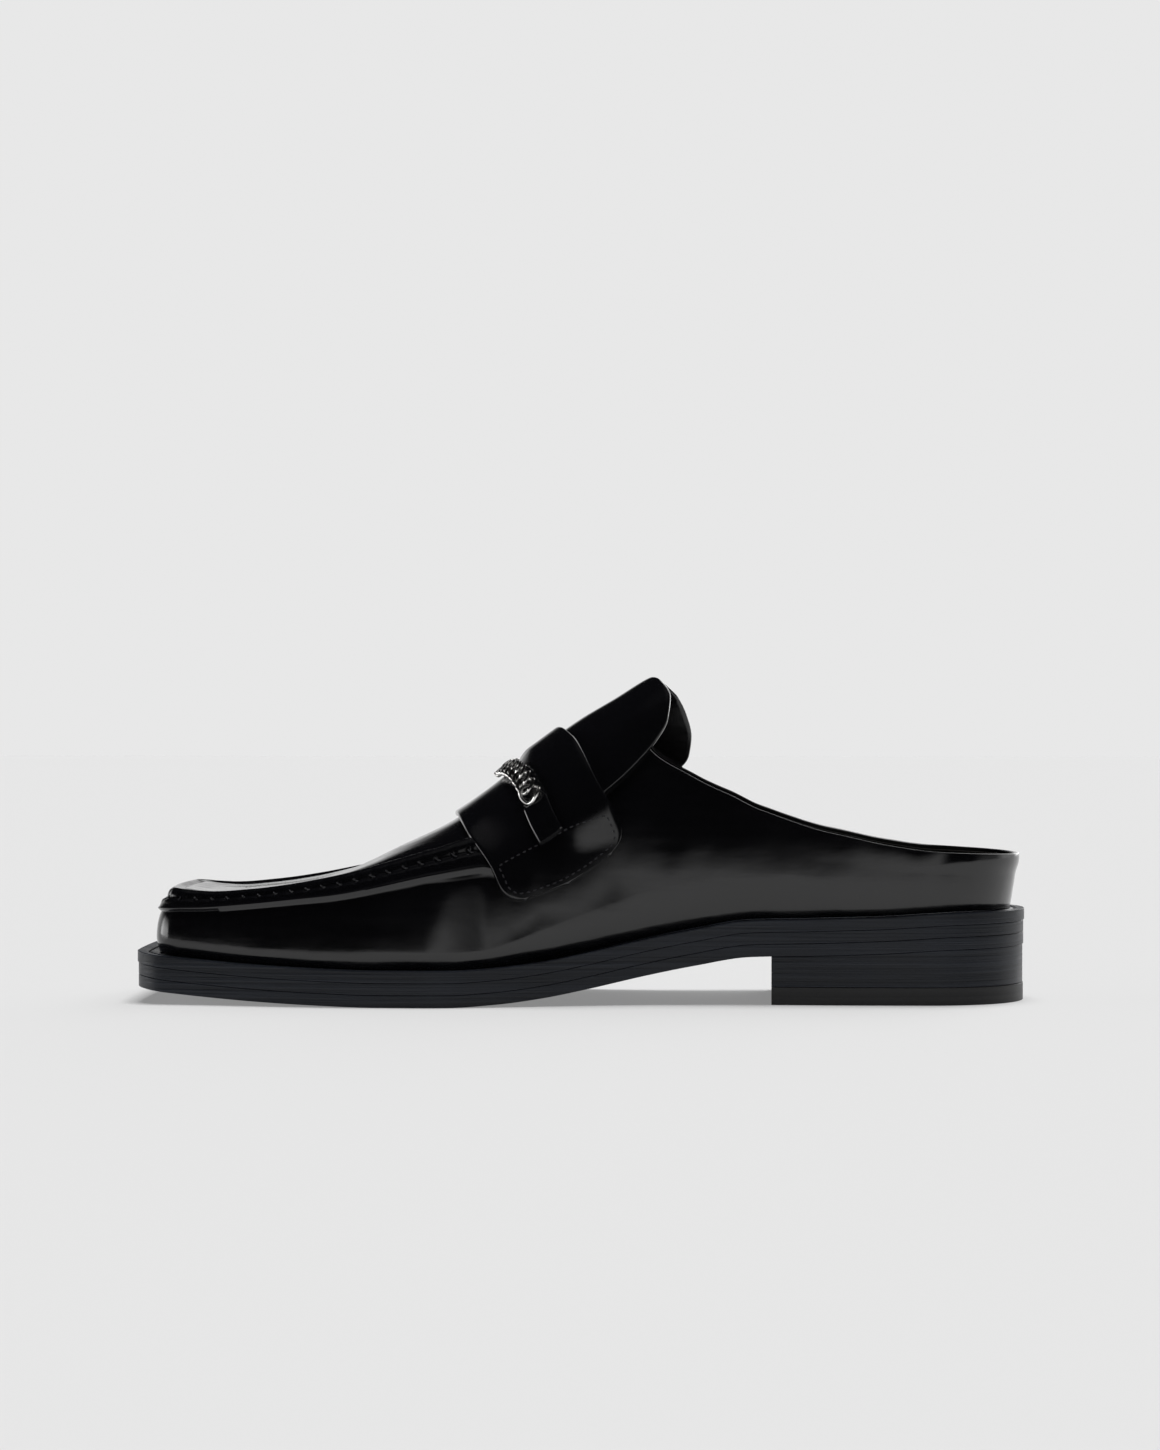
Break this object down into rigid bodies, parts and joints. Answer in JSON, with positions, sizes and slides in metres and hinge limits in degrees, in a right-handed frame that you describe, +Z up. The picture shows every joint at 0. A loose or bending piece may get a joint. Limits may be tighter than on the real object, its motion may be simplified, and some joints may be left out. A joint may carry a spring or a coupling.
{
  "type": "square toe mule",
  "caption": "Low-cut slip-on shoe with a square toe, raised moccasin seam, saddle strap with a curb chain, standing tongue and stacked heel.",
  "frame": {"origin": "on the floor under the middle of the shoe's bounding box", "axes": "+X from toe to heel, +Y towards the inner side of the foot, +Z up"},
  "size_m": [0.3, 0.105, 0.1093],
  "materials": {
    "upper_leather": "black box leather with a high brushed shine",
    "sole_leather": "black edge-dyed sole leather, satin with fine lines along it",
    "heel_rubber": "black rubber, satin",
    "lining": "dark smooth lining leather",
    "chain_metal": "polished silver-coloured metal"
  },
  "bodies": {
    "root": {"chain_link_01": "chain_metal", "chain_link_02": "chain_metal", "chain_link_03": "chain_metal", "chain_link_04": "chain_metal", "chain_link_05": "chain_metal", "chain_link_06": "chain_metal", "chain_link_07": "chain_metal", "chain_link_08": "chain_metal", "chain_link_09": "chain_metal", "chain_link_10": "chain_metal", "chain_link_11": "chain_metal", "chain_link_12": "chain_metal", "chain_link_13": "chain_metal", "chain_strap_far": "upper_leather", "chain_strap_near": "upper_leather", "heel_stack": "sole_leather", "insole": "lining", "midsole": "sole_leather", "outsole": "sole_leather", "ring_far": "chain_metal", "ring_near": "chain_metal", "saddle_strap": "upper_leather", "tongue": "upper_leather", "top_piece": "heel_rubber", "upper": "upper_leather", "welt": "sole_leather"}
  },
  "joints": []
}
